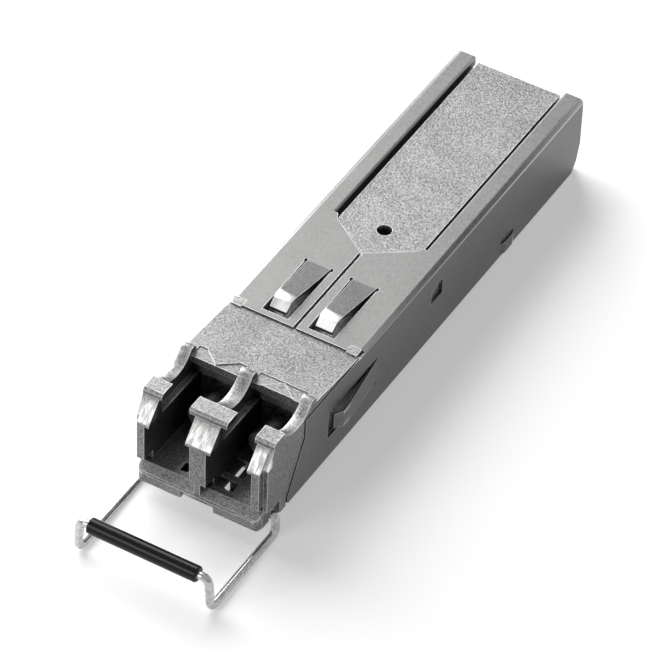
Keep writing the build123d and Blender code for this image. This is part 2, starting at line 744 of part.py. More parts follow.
    # Ramps over the posts and teeth hooked over the ports: one on the divider and one on each outer wall
    tooth_runs = (
        (-shelf_inner, shelf_inner, -CENTRE_TOOTH_HALF, CENTRE_TOOTH_HALF),
        (shelf_outer, POST_PILLAR_OUTER, SIDE_TOOTH_INNER, NOSE_SIDE),
        (-POST_PILLAR_OUTER, -shelf_outer, -NOSE_SIDE, -SIDE_TOOTH_INNER),
    )
    for ramp_left, ramp_right, tooth_left, tooth_right in tooth_runs:
        with BuildSketch(Plane.YZ.offset((ramp_left + ramp_right) / 2)):
            with BuildLine():
                Polyline(
                    (post_front, SHELF_UNDER),
                    (post_front, SHELF_TOP),
                    (tooth_front, tooth_under),
                    (tooth_front + RAMP_BACK, tooth_under),
                    (tooth_front + RAMP_BACK, SHELF_UNDER),
                    close=True,
                )
            make_face()
        extrude(amount=(ramp_right - ramp_left) / 2, both=True)
        with BuildSketch(Plane.YZ.offset((tooth_left + tooth_right) / 2)):
            with BuildLine():
                Polyline(
                    (tooth_front, tooth_under),
                    (tooth_front, tooth_top - TOOTH_CHAMFER),
                    (tooth_front + TOOTH_CHAMFER, tooth_top),
                    (tooth_rear, tooth_top),
                    (tooth_rear, tooth_under),
                    close=True,
                )
            make_face()
        extrude(amount=(tooth_right - tooth_left) / 2, both=True)
    # Rounded ends of the lip in plan, with the notch in its middle
    with BuildSketch(Plane.XY.offset(-CUT_PAST)):
        with Locations((0, lip_rear - LIP_DEPTH)):
            Rectangle(2 * BODY_WIDTH, 2 * LIP_DEPTH)
        with Locations((0, lip_rear)):
            RectangleRounded(2 * LIP_HALF, 2 * LIP_DEPTH, LIP_CORNER, mode=Mode.SUBTRACT)
    extrude(amount=FLOOR_TOP + CUT_PAST, mode=Mode.SUBTRACT)
    # Channel of the latch lever under the floor, open below and at the notch in the lip
    notch_rear = from_front(NOTCH_DEPTH)
    cut_block(
        (-CHANNEL_HALF, CHANNEL_HALF),
        (notch_rear, back_wall_rear + CUT_PAST),
        (-CUT_PAST, channel_top),
    )
    cut_block(
        (-NOTCH_HALF, NOTCH_HALF),
        (nose_front - CUT_PAST, notch_rear + HOUSING_GAP),
        (-CUT_PAST, NOTCH_TOP),
    )
    # Seat of the lever's leaf spring in the channel's roof
    cut_block(
        (-SPRING_HALF - RUNNING_GAP, SPRING_HALF + RUNNING_GAP),
        (back_wall_front, back_wall_rear + CUT_PAST),
        (channel_top - HOUSING_GAP, spring_seat),
    )
    # Room behind the back wall for the optics, and for the lever below them
    cut_block(
        (-optics_inner, optics_inner),
        (back_wall_rear, optics_rear),
        (-CUT_PAST, plate_under),
    )
    # Groove and holes across the floor: the bail's axle and the lever's pin
    with BuildSketch(Plane.YZ):
        with Locations((pivot_y, PIVOT_Z)):
            Circle(WIRE_RADIUS + RUNNING_GAP)
        with Locations((pivot_y, PIVOT_Z - BODY_HEIGHT / 2)):
            Rectangle(2 * (WIRE_RADIUS + RUNNING_GAP), BODY_HEIGHT)
    extrude(amount=BODY_WIDTH, both=True, mode=Mode.SUBTRACT)
    with BuildSketch(Plane.YZ):
        with Locations((from_front(LEVER_PIN_FROM_FRONT), LEVER_PIN_Z)):
            Circle(LEVER_PIN_RADIUS)
    extrude(amount=LEVER_PIN_HALF, both=True, mode=Mode.SUBTRACT)
    # Windows through the floors of the ports, over the lever
    cut_block(
        (port_inner, port_inner + WINDOW_WIDTH),
        (from_front(WINDOW_FRONT), from_front(WINDOW_FRONT + WINDOW_LENGTH)),
        (WINDOW_FLOOR, SHELF_UNDER),
    )
    cut_block(
        (port_inner, port_inner + WINDOW_WIDTH),
        (from_front(REAR_WINDOW_FRONT), from_front(REAR_WINDOW_FRONT + REAR_WINDOW_LENGTH)),
        (NOTCH_TOP, SHELF_UNDER),
    )
    cut_block(
        (-SLIT_OUTER, -SLIT_OUTER + SLIT_WIDTH),
        (from_front(WINDOW_FRONT), from_front(WINDOW_FRONT + SLIT_LENGTH)),
        (WINDOW_FLOOR, SHELF_UNDER),
    )
    # Ledges that carry the circuit board
    for side in (-1, 1):
        cut_block(
            sorted((side * (WALL_INNER - LEDGE_WIDTH), side * WALL_INNER)),
            (optics_rear, from_rear(BOTTOM_OPENING + LEDGE_WIDTH)),
            (housing_bottom, BOARD_BOTTOM),
            mode=Mode.ADD,
        )
    # Hole through the plate
    with Locations(Location((0, from_front(PLATE_HOLE_FROM_FRONT), plate_top))):
        Hole(PLATE_HOLE_RADIUS, depth=PLATE_THICKNESS + CUT_PAST)
    # Pockets under the top fingers
    for side in (-1, 1):
        cut_block(
            (side * TOP_FINGER_X - TOP_WINDOW_WIDTH / 2, side * TOP_FINGER_X + TOP_WINDOW_WIDTH / 2),
            (from_front(TOP_WINDOW_FRONT), from_front(TOP_FINGER_ROOT)),
            (sheet_under - FINGER_POCKET, BODY_HEIGHT),
        )
        # Pockets behind the side fingers
        cut_block(
            sorted((side * (housing_half - SIDE_POCKET), side * (housing_half + FINE_STEP))),
            (from_front(SIDE_WINDOW_FRONT), from_front(SIDE_FINGER_ROOT)),
            (SIDE_FINGER_Z - SIDE_WINDOW_WIDTH / 2, SIDE_FINGER_Z + SIDE_WINDOW_WIDTH / 2),
        )
    # Sunk bands along the deck's front edge, with an arrow left standing in each: out on the left,
    # in on the right
    deck_plane = Plane(origin=(0, roof_front, deck_front), x_dir=(1, 0, 0), z_dir=(0, deck_slope, 1))
    with BuildSketch(deck_plane):
        for centre in port_centres:
            with Locations((centre, 0)):
                Rectangle(2 * slot_half, 2 * ARROW_RECESS)
    extrude(amount=BUMP_RISE, mode=Mode.SUBTRACT)
    with BuildSketch(deck_plane):
        arrow_ends = ((ARROW_GAP, ARROW_RECESS), (ARROW_RECESS - ARROW_GAP, 0))
        for centre, (tip, base) in zip(port_centres, arrow_ends):
            with Locations((centre, ARROW_RECESS / 2)):
                Rectangle(2 * slot_half, ARROW_RECESS)
            with BuildLine():
                Polyline(
                    (centre - ARROW_WIDTH / 2, base),
                    (centre + ARROW_WIDTH / 2, base),
                    (centre, tip),
                    close=True,
                )
            make_face(mode=Mode.SUBTRACT)
    extrude(amount=-ARROW_HEIGHT, mode=Mode.SUBTRACT)
housing.part.label = "housing"

# Wire bail: one wire from the crossbar through both arms and the axle, cranked in the middle
arm_front = pivot_y - BAIL_REACH
wire_path = FilletPolyline(
    (0, arm_front, CROSSBAR_Z),
    (-ARM_X + ARM_SPLAY, arm_front, CROSSBAR_Z),
    (-ARM_X, arm_front, ARM_Z),
    (-ARM_X, pivot_y, ARM_Z),
    (-ARM_X, pivot_y, PIVOT_Z),
    (-CRANK_HALF - CRANK_JOG, pivot_y, PIVOT_Z),
    (-CRANK_HALF, pivot_y, PIVOT_Z + CRANK_OFFSET),
    (0, pivot_y, PIVOT_Z + CRANK_OFFSET),
    radius=[BAIL_BEND, BAIL_BEND, BAIL_BEND, AXLE_BEND, AXLE_BEND, AXLE_BEND],
)
wire_curve = Wire(wire_path.to_splines().edges())
with BuildPart() as bail_wire:
    with BuildSketch(Plane(origin=wire_curve @ 0, z_dir=wire_curve % 0)):
        with BuildLine():
            for quarter in range(4):
                CenterArc((0, 0), WIRE_RADIUS, 90 * quarter, 90)
        make_face()
    sweep(path=wire_curve)
    mirror(about=Plane.YZ)
bail_wire.part.label = "bail_wire"

# Tube over the crossbar
with BuildPart() as bail_sleeve:
    with BuildSketch(Plane.YZ):
        with Locations((arm_front, CROSSBAR_Z)):
            Circle(SLEEVE_GRIP_RADIUS)
            Circle(WIRE_RADIUS + SLEEVE_GRIP_GAP, mode=Mode.SUBTRACT)
    extrude(amount=SLEEVE_GRIP_HALF, both=True)
    chamfer(bail_sleeve.faces().sort_by(Axis.X)[0].outer_wire().edges(), SLEEVE_GRIP_CHAMFER)
    chamfer(bail_sleeve.faces().sort_by(Axis.X)[-1].outer_wire().edges(), SLEEVE_GRIP_CHAMFER)
bail_sleeve.part.label = "bail_sleeve"

# Latch lever, lifted by the cranked axle while the bail is open
lever_pin_y = from_front(LEVER_PIN_FROM_FRONT)
lever_under = PIVOT_Z + CRANK_OFFSET + WIRE_RADIUS + LEVER_CLEARANCE
lever_top = lever_under + LEVER_THICKNESS
boss_rear = latch_shoulder + BOSS_LENGTH
with BuildPart() as latch_lever:
    with BuildSketch(Plane.YZ):
        with Locations((lever_pin_y, LEVER_PIN_Z)):
            Circle(LEVER_EYE_RADIUS)
        with BuildLine():
            Polyline(
                (lever_pin_y, LEVER_PIN_Z + LEVER_PIN_RADIUS),
                (from_front(NOTCH_DEPTH), LEVER_PIN_Z + LEVER_EYE_RADIUS),
                (from_front(LEVER_BEND_TOP), lever_top),
                (boss_rear + LEVER_TAIL, lever_top),
                (boss_rear + LEVER_TAIL, lever_under),
                (from_front(LEVER_BEND_UNDER), lever_under),
                (lever_pin_y, LEVER_PIN_Z - LEVER_PIN_RADIUS),
                close=True,
            )
        make_face()
        with Locations((lever_pin_y, LEVER_PIN_Z)):
            Circle(LEVER_PIN_RADIUS + RUNNING_GAP, mode=Mode.SUBTRACT)
    extrude(amount=LEVER_HALF, both=True)
    # Boss: square shoulder towards the nose and a ramp towards the connector end
    with BuildSketch(Plane.YZ):
        with BuildLine():
            Polyline(
                (latch_shoulder, lever_under),
                (latch_shoulder, BOSS_REST_Z),
                (latch_shoulder + BOSS_FLAT, BOSS_REST_Z),
                (boss_rear, BOSS_REST_Z + BOSS_HEIGHT),
                (boss_rear, lever_under),
                close=True,
            )
        make_face()
    extrude(amount=BOSS_WIDTH / 2, both=True)
latch_lever.part.label = "latch_lever"

with BuildPart() as lever_pin:
    with BuildSketch(Plane.YZ):
        with Locations((lever_pin_y, LEVER_PIN_Z)):
            Circle(LEVER_PIN_RADIUS)
    extrude(amount=LEVER_PIN_HALF, both=True)
lever_pin.part.label = "lever_pin"

# Leaf spring over the lever, rooted under the back wall
with BuildPart() as latch_spring:
    with BuildSketch(Plane.YZ):
        with BuildLine():
            Polyline(
                (back_wall_front + SPRING_THICKNESS, spring_seat),
                (back_wall_rear, spring_seat),
                (back_wall_rear + SPRING_RAMP, spring_seat + SPRING_RISE),
                (latch_shoulder + BOSS_LENGTH / 2, spring_seat + SPRING_RISE),
                (boss_rear + SPRING_TAIL, lever_top + SPRING_THICKNESS + 2 * LEVER_CLEARANCE),
            )
            offset(amount=SPRING_THICKNESS, side=Side.RIGHT)
        make_face()
    extrude(amount=SPRING_HALF, both=True)
latch_spring.part.label = "latch_spring"

# Circuit board with its two notches for the walls' ledges
with BuildPart() as circuit_board:
    with BuildSketch(Plane.XY.offset(BOARD_BOTTOM)):
        with Locations((0, (board_front + board_rear) / 2)):
            Rectangle(BOARD_WIDTH, board_rear - board_front)
        chamfer(vertices().group_by(Axis.Y)[-1], CONTACT_INSET)
    extrude(amount=BOARD_THICKNESS)
    rear_edges = circuit_board.faces().sort_by(Axis.Y)[-1].edges().filter_by(Axis.X)
    chamfer(rear_edges, BOARD_CHAMFER)
circuit_board.part.label = "circuit_board"

# Edge contacts on both faces of the board
contact_y = board_rear - CONTACT_INSET - CONTACT_LENGTH / 2
contact_rows = {"top_contacts": board_top, "bottom_contacts": BOARD_BOTTOM - CONTACT_THICKNESS}
contacts = {}
for name, height in contact_rows.items():
    with BuildPart() as row:
        with BuildSketch(Plane.XY.offset(height)):
            with Locations((0, contact_y)):
                with GridLocations(CONTACT_PITCH, 0, CONTACT_COUNT, 1):
                    Rectangle(CONTACT_WIDTH, CONTACT_LENGTH)
        extrude(amount=CONTACT_THICKNESS)
    row.part.label = name
    contacts[name] = row

# Optical parts of both channels: sleeve, sealed can, fibre stub, gasket and flexible lead
sleeve_front = from_front(SLEEVE_FRONT)
stub_face = sleeve_front + FERRULE_DEPTH
channel_names = ("transmitter", "receiver")
channel_parts = {}
for name, centre in zip(channel_names, port_centres):
    axis_plane = Plane.XZ.offset(-flange_front)
    with BuildPart() as sleeve:
        with BuildSketch(axis_plane):
            with Locations((centre, PORT_AXIS_Z)):
                Circle(SLEEVE_RADIUS)
        extrude(amount=flange_front - sleeve_front)
        bore_plane = Plane.XZ.offset(-sleeve_front)
        with BuildSketch(bore_plane):
            with Locations((centre, PORT_AXIS_Z)):
                Circle(FERRULE_RADIUS)
        extrude(amount=-FERRULE_DEPTH, mode=Mode.SUBTRACT)
        with BuildSketch(Plane.XZ.offset(-stub_face)):
            with Locations((centre, PORT_AXIS_Z)):
                Circle(STUB_RADIUS)
        extrude(amount=stub_face - flange_front, mode=Mode.SUBTRACT)
        chamfer(sleeve.faces().sort_by(Axis.Y)[0].inner_wires().edges(), FERRULE_LEAD_IN)
    sleeve.part.label = name + "_sleeve"
    with BuildPart() as can:
        with BuildSketch(axis_plane):
            with Locations((centre, PORT_AXIS_Z)):
                Circle(CAN_FLANGE_RADIUS)
        extrude(amount=-CAN_FLANGE_LENGTH)
        with BuildSketch(axis_plane):
            with Locations((centre, PORT_AXIS_Z)):
                Circle(CAN_RADIUS)
        extrude(amount=-CAN_LENGTH)
    can.part.label = name + "_can"
    with BuildPart() as flex:
        with BuildSketch(Plane.YZ.offset(centre - FLEX_WIDTH / 2)):
            with BuildLine():
                FilletPolyline(
                    (can_rear, PORT_AXIS_Z + FLEX_START_RISE),
                    (can_rear, board_top),
                    (board_front + FLEX_LANDING, board_top),
                    radius=FLEX_BEND,
                )
                offset(amount=FLEX_THICKNESS, side=Side.LEFT)
            make_face()
        extrude(amount=FLEX_WIDTH)
    flex.part.label = name + "_flex"
    channel_parts[name] = (sleeve, can, flex)

# Fibre stubs pressed in from the rear ends of the sleeves
with BuildPart() as fibre_stubs:
    with BuildSketch(Plane.XZ.offset(-stub_face)):
        for centre in port_centres:
            with Locations((centre, PORT_AXIS_Z)):
                Circle(STUB_RADIUS)
    extrude(amount=stub_face - flange_front)
fibre_stubs.part.label = "fibre_stubs"

with BuildPart() as sleeve_gaskets:
    with BuildSketch(Plane.XZ.offset(-back_wall_rear)):
        for centre in port_centres:
            with Locations((centre, PORT_AXIS_Z)):
                Circle(CAN_FLANGE_RADIUS)
                Circle(SLEEVE_RADIUS + HOUSING_GAP, mode=Mode.SUBTRACT)
    extrude(amount=-GASKET_THICKNESS)
sleeve_gaskets.part.label = "sleeve_gaskets"

# Clamp that holds both cans against the back wall
with BuildPart() as optics_clamp:
    clamp_front = flange_front + CAN_FLANGE_LENGTH
    with BuildSketch(Plane.XZ.offset(-clamp_front)):
        with Locations((0, (CLAMP_BOTTOM + PORT_AXIS_Z) / 2)):
            Rectangle(2 * (optics_inner - HOUSING_GAP), PORT_AXIS_Z - CLAMP_BOTTOM)
        with Locations((0, CLAMP_BOTTOM)):
            Rectangle(2 * CLAMP_NOTCH_HALF, 2 * (CLAMP_NOTCH_TOP - CLAMP_BOTTOM), mode=Mode.SUBTRACT)
        for centre in port_centres:
            with Locations((centre, PORT_AXIS_Z)):
                Circle(CAN_RADIUS + HOUSING_GAP, mode=Mode.SUBTRACT)
    extrude(amount=-CLAMP_THICKNESS)
optics_clamp.part.label = "optics_clamp"

# Chips, their heat pad and the small parts on the board
driver_y = board_front + DRIVER_FROM_BOARD_FRONT
controller_y = from_rear(CONTROLLER_FROM_REAR)
with BuildPart() as driver_chip:
    with BuildSketch(Plane.XY.offset(board_top)):
        with Locations((0, driver_y)):
            Rectangle(DRIVER_SIZE, DRIVER_SIZE)
    extrude(amount=CHIP_HEIGHT)
    chamfer(driver_chip.faces().sort_by(Axis.Z)[-1].edges(), CHIP_CHAMFER)
driver_chip.part.label = "driver_chip"

with BuildPart() as amplifier_chip:
    with BuildSketch(Plane.XY.offset(board_top)):
        with Locations((0, driver_y + AMPLIFIER_FROM_DRIVER)):
            Rectangle(AMPLIFIER_SIZE, AMPLIFIER_SIZE)
    extrude(amount=CHIP_HEIGHT)
    chamfer(amplifier_chip.faces().sort_by(Axis.Z)[-1].edges(), CHIP_CHAMFER)
amplifier_chip.part.label = "amplifier_chip"

with BuildPart() as controller_chip:
    with BuildSketch(Plane.XY.offset(board_top)):
        with Locations((0, controller_y)):
            Rectangle(CONTROLLER_WIDTH, CONTROLLER_LENGTH)
    extrude(amount=CHIP_HEIGHT)
    chamfer(controller_chip.faces().sort_by(Axis.Z)[-1].edges(), CHIP_CHAMFER)
controller_chip.part.label = "controller_chip"

with BuildPart() as heat_pad:
    with BuildSketch(Plane.XY.offset(board_top + CHIP_HEIGHT)):
        with Locations((0, driver_y)):
            Rectangle(DRIVER_SIZE, DRIVER_SIZE)
    extrude(amount=plate_under - board_top - CHIP_HEIGHT)
heat_pad.part.label = "heat_pad"

with BuildPart() as capacitors:
    with BuildSketch(Plane.XY.offset(board_top)):
        with Locations((0, (driver_y + controller_y) / 2)):
            with GridLocations(2 * PASSIVE_X, PASSIVE_SPACING, 2, PASSIVE_ROWS):
                Rectangle(CAPACITOR_LENGTH, CAPACITOR_WIDTH)
    extrude(amount=CAPACITOR_WIDTH)
capacitors.part.label = "capacitors"

with BuildPart() as resistors:
    with BuildSketch(Plane.XY.offset(board_top)):
        with Locations((0, (driver_y + controller_y) / 2)):
            with GridLocations(2 * (PASSIVE_X - CAPACITOR_LENGTH), PASSIVE_SPACING, 2, PASSIVE_ROWS):
                Rectangle(RESISTOR_LENGTH, RESISTOR_WIDTH)
    extrude(amount=RESISTOR_HEIGHT)
resistors.part.label = "resistors"

pieces = [housing, shell, bail_wire, bail_sleeve, latch_lever, lever_pin, latch_spring, circuit_board]
pieces += contacts.values()
for sleeve, can, flex in channel_parts.values():
    pieces += [sleeve, can, flex]
pieces += [fibre_stubs, sleeve_gaskets, optics_clamp, driver_chip, amplifier_chip, controller_chip]
pieces += [heat_pad, capacitors, resistors]
for piece in pieces:
    export_step(piece.part, f"parts/{piece.part.label}.step")
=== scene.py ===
"""Looks of a pluggable optical transceiver: finishes, softened edges, floor, light and camera."""

import logging
from dataclasses import dataclass
from enum import Enum
from math import cos, radians, sin

import bmesh
import bpy
from mathutils import Matrix, Vector

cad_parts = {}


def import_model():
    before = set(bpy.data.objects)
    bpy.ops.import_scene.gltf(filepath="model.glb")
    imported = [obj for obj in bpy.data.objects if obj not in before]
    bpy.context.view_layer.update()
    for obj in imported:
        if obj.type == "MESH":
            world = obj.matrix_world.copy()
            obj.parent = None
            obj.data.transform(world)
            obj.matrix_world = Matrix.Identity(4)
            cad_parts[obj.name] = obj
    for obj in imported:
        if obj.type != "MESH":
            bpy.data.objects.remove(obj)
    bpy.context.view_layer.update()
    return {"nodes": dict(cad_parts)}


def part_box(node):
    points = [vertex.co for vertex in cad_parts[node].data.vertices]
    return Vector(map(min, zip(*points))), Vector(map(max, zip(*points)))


LOG = logging.getLogger("transceiver")
MM = 0.001
WHITE = (1.0, 1.0, 1.0, 1.0)
NOISE_SPAN = (0.3, 0.7)
# How far in from the bail's front and from the rear end the floor is touched
BAIL_REST_IN = 2.0 * MM
REAR_REST_IN = 1.6 * MM
Socket = bpy.types.NodeSocket


class Channel(Enum):
    """The two optical channels, which have the same pieces."""

    TRANSMITTER = "transmitter"
    RECEIVER = "receiver"

    def node(self, piece: str) -> str:
        """Names this channel's node of that piece."""
        return f"{self.value}_{piece}"


@dataclass(frozen=True)
class NodeTree:
    """Short calls for building the node tree of a material or a world."""

    owner: bpy.types.ID
    octave_share: float = 0.62

    @classmethod
    def emptied(cls, owner: bpy.types.ID) -> "NodeTree":
        """Starts a tree without nodes.

        Args:
            owner: The material or world that the tree belongs to.

        Returns:
            The empty tree.
        """
        owner.use_nodes = True
        owner.node_tree.nodes.clear()
        return cls(owner)

    @classmethod
    def named(cls, name: str) -> "NodeTree":
        """Starts the empty tree of a new material."""
        return cls.emptied(bpy.data.materials.new(name))

    def add(self, kind: str, **values: object) -> bpy.types.Node:
        """Adds a node and sets its properties.

        Args:
            kind: The node's type name without its ShaderNode prefix.
            values: Properties of the node by name.

        Returns:
            The new node.
        """
        node = self.owner.node_tree.nodes.new("ShaderNode" + kind)
        for name, value in values.items():
            setattr(node, name, value)
        return node

    def link(self, source: Socket, target: Socket) -> None:
        """Joins two sockets."""
        self.owner.node_tree.links.new(source, target)

    def noise(self, vector: Socket, size_mm: float, detail: float = 4.0) -> Socket:
        """Adds a noise whose features are about that large.

        Args:
            vector: Coordinates in metres.
            size_mm: Size of the largest features.
            detail: How many octaves the noise has.

        Returns:
            The noise's factor.
        """
        node = self.add("TexNoise")
        node.inputs["Scale"].default_value = 1.0 / (size_mm * MM)
        node.inputs["Detail"].default_value = detail
        node.inputs["Roughness"].default_value = self.octave_share
        self.link(vector, node.inputs["Vector"])
        return node.outputs["Fac"]

    def ramp(
        self, value: Socket, low: float, high: float, to_low: float = 0.0, to_high: float = 1.0
    ) -> Socket:
        """Maps one range onto another, held at both ends.

        Args:
            value: What is mapped.
            low: Start of the source range.
            high: End of the source range.
            to_low: Result at its start.
            to_high: Result at its end.

        Returns:
            The mapped value.
        """
        node = self.add("MapRange", clamp=True)
        self.link(value, node.inputs["Value"])
        for name, number in (("From Min", low), ("From Max", high), ("To Min", to_low), ("To Max", to_high)):
            node.inputs[name].default_value = number
        return node.outputs["Result"]

    def math(self, operation: str, first: object, second: object) -> Socket:
        """Adds a sum, product or other operation of two values.

        Args:
            operation: Name of the operation.
            first: A socket or a number.
            second: A socket or a number.

        Returns:
            The result.
        """
        node = self.add("Math", operation=operation)
        for socket, value in zip(node.inputs, (first, second)):
            if isinstance(value, Socket):
                self.link(value, socket)
            else:
                socket.default_value = value
        return node.outputs["Value"]

    def blend(self, factor: object, low: object, high: object, way: str = "MIX") -> Socket:
        """Blends two colours by a factor.

        Args:
            factor: A socket or a number, zero for the first colour and one for the second.
            low: The first colour, a socket or three numbers.
            high: The second colour, a socket or three numbers.
            way: Name of the blend.

        Returns:
            The blended colour.
        """
        node = self.add("Mix", data_type="RGBA", blend_type=way)
        if isinstance(factor, Socket):
            self.link(factor, node.inputs["Factor"])
        else:
            node.inputs["Factor"].default_value = factor
        colours = [socket for socket in node.inputs if socket.type == "RGBA"]
        for socket, colour in zip(colours, (low, high)):
            if isinstance(colour, Socket):
                self.link(colour, socket)
            else:
                socket.default_value = (*colour, 1.0)
        return next(socket for socket in node.outputs if socket.type == "RGBA")

    def bump(self, height: Socket, depth_mm: float) -> Socket:
        """Adds a bump of that depth.

        Args:
            height: The relief.
            depth_mm: Height at which the relief is one.

        Returns:
            The bumped normal.
        """
        node = self.add("Bump")
        node.inputs["Strength"].default_value = 1.0
        node.inputs["Distance"].default_value = depth_mm * MM
        self.link(height, node.inputs["Height"])
        return node.outputs["Normal"]

    def finish(self, shader: bpy.types.Node) -> bpy.types.Material:
        """Sends the shader to the material's surface.

        Args:
            shader: The last shader of the tree.

        Returns:
            The finished material.
        """
        output = self.add("OutputMaterial")
        self.link(shader.outputs[0], output.inputs["Surface"])
        return self.owner


@dataclass(frozen=True)
class HighlightPatch:
    """A spot on a piece painted bright in streaks as a highlight, in front of one plane and above another."""

    front_mm: float
    top_mm: float
    grain_mm: float = 0.3
    draw: float = 0.2
    detail: float = 3.0
    span: tuple = (0.4, 0.6)
    front_fade_mm: float = 0.5
    top_fade_mm: float = 0.08
    least: float = 0.3

    def mask(self, tree: NodeTree, place: Socket) -> Socket:
        """Finds the spot of painted highlight.

        Args:
            tree: The material's tree.
            place: Object coordinates.

        Returns:
            Up to one in the painted highlight and zero elsewhere.
        """
        split = tree.add("SeparateXYZ")
        tree.link(place, split.inputs["Vector"])
        front, top = self.front_mm * MM, self.top_mm * MM
        ahead = tree.ramp(split.outputs["Y"], front, front - self.front_fade_mm * MM)
        above = tree.ramp(split.outputs["Z"], top, top + self.top_fade_mm * MM)
        drawn = tree.add("Mapping")
        drawn.inputs["Scale"].default_value = (1.0, self.draw, self.draw)
        tree.link(place, drawn.inputs["Vector"])
        drawing = tree.noise(drawn.outputs["Vector"], self.grain_mm, self.detail)
        streaks = tree.ramp(drawing, *self.span, self.least, 1.0)
        return tree.math("MULTIPLY", tree.math("MULTIPLY", ahead, above), streaks)


@dataclass(frozen=True)
class MetalFinish:
    """A metal with grain, faint clouding, a painted highlight on its edges and, where asked for, a painted
    highlight patch and painted shade in its hollows.
    """

    name: str
    dark: tuple = (0.1, 0.1, 0.098)
    light: tuple = (0.34, 0.34, 0.336)
    # Near-white colour of the painted highlights on edges and patches
    highlight_colour: tuple = (0.93, 0.93, 0.92)
    roughness: float = 0.4
    roughness_fall: float = 0.06
    roughness_rise: float = 0.1
    grain_mm: float = 0.22
    grain_detail: float = 3.0
    fine_part: float = 0.4
    fine_detail: float = 2.0
    grain_depth_mm: float = 0.01
    cloud_mm: float = 4.0
    shares: tuple = (0.5, 0.4, 0.1)
    contrast: tuple = (0.41, 0.59)
    edge_mm: float = 0.06
    edge_bend: tuple = (0.997, 0.93)
    edge_highlight_share: float = 0.75
    edge_samples: int = 6
    hollow_mm: float = 0.0
    hollow_samples: int = 8
    hollow_range: tuple = (0.14, 0.42)
    hollow_dark: float = 0.02
    streak: float = 1.0
    highlight_patch: HighlightPatch | None = None

    def make(self) -> bpy.types.Material:
        """Builds the material.

        Returns:
            The finished material.
        """
        tree = NodeTree.named(self.name)
        place = tree.add("TexCoord").outputs["Object"]
        along = tree.add("Mapping")
        along.inputs["Scale"].default_value = (1.0, 1.0 / self.streak, 1.0)
        tree.link(place, along.inputs["Vector"])
        grain = tree.noise(along.outputs["Vector"], self.grain_mm, self.grain_detail)
        fine = tree.noise(place, self.fine_part * self.grain_mm, self.fine_detail)
        cloud = tree.noise(place, self.cloud_mm, self.grain_detail)
        parts = [tree.math("MULTIPLY", part, share) for part, share in zip((grain, fine, cloud), self.shares)]
        speckle = tree.math("ADD", tree.math("ADD", parts[0], parts[1]), parts[2])
        shade = tree.blend(tree.ramp(speckle, *self.contrast), self.dark, self.light)
        # Painted highlight: sharp edges are blended towards a near-white colour
        shade = tree.blend(self._edge_highlight(tree), shade, self.highlight_colour)
        # Painted highlight: a patch in ragged streaks is blended towards the same near-white colour
        if self.highlight_patch:
            shade = tree.blend(self.highlight_patch.mask(tree, place), shade, self.highlight_colour)
        # Painted shade: hollows are darkened by multiplying the colour with their ambient occlusion
        if self.hollow_mm:
            shade = tree.blend(1.0, shade, self._hollow_shade(tree), "MULTIPLY")
        shader = tree.add("BsdfPrincipled")
        shader.inputs["Metallic"].default_value = 1.0
        tree.link(shade, shader.inputs["Base Color"])
        smooth, dull = self.roughness - self.roughness_fall, self.roughness + self.roughness_rise
        tree.link(tree.ramp(grain, *NOISE_SPAN, smooth, dull), shader.inputs["Roughness"])
        tree.link(tree.bump(tree.math("ADD", grain, fine), self.grain_depth_mm), shader.inputs["Normal"])
        return tree.finish(shader)

    def _hollow_shade(self, tree: NodeTree) -> Socket:
        """Finds what lies deep between walls, which is darkened as painted shade.

        Args:
            tree: The material's tree.

        Returns:
            One in the open and nearly zero deep in a hollow.
        """
        closed = tree.add("AmbientOcclusion", samples=self.hollow_samples, only_local=True)
        closed.inputs["Distance"].default_value = self.hollow_mm * MM
        return tree.ramp(closed.outputs["AO"], *self.hollow_range, self.hollow_dark, 1.0)

    def _edge_highlight(self, tree: NodeTree) -> Socket:
        """Finds the outer edges of the piece, which are painted bright as a highlight.

        Args:
            tree: The material's tree.

        Returns:
            Nearly one on a sharp edge and zero on a flat face.
        """
        rounded = tree.add("Bevel", samples=self.edge_samples)
        rounded.inputs["Radius"].default_value = self.edge_mm * MM
        flat = tree.add("NewGeometry").outputs["True Normal"]
        dot = tree.add("VectorMath", operation="DOT_PRODUCT")
        tree.link(rounded.outputs["Normal"], dot.inputs[0])
        tree.link(flat, dot.inputs[1])
        return tree.ramp(dot.outputs["Value"], *self.edge_bend, 0.0, self.edge_highlight_share)


@dataclass(frozen=True)
class PlainFinish:
    """A plastic, rubber or coated surface with a fine mottle."""

    name: str
    colour: tuple
    roughness: float = 0.4
    mottle_mm: float = 0.3
    depth_mm: float = 0.002
    coat: float = 0.0
    coat_roughness: float = 0.08
    gloss: float = 0.5
    darker: float = 0.82
    lighter: float = 1.15
    roughness_fall: float = 0.04
    roughness_rise: float = 0.05

    def make(self) -> bpy.types.Material:
        """Builds the material.

        Returns:
            The finished material.
        """
        tree = NodeTree.named(self.name)
        place = tree.add("TexCoord").outputs["Object"]
        mottle = tree.noise(place, self.mottle_mm)
        dark = tuple(self.darker * part for part in self.colour)
        light = tuple(min(1.0, self.lighter * part) for part in self.colour)
        shader = tree.add("BsdfPrincipled")
        shader.inputs["Specular IOR Level"].default_value = self.gloss
        shader.inputs["Coat Weight"].default_value = self.coat
        shader.inputs["Coat Roughness"].default_value = self.coat_roughness
        tree.link(tree.blend(tree.ramp(mottle, *NOISE_SPAN), dark, light), shader.inputs["Base Color"])
        smooth, dull = self.roughness - self.roughness_fall, self.roughness + self.roughness_rise
        tree.link(tree.ramp(mottle, *NOISE_SPAN, smooth, dull), shader.inputs["Roughness"])
        tree.link(tree.bump(mottle, self.depth_mm), shader.inputs["Normal"])
        return tree.finish(shader)


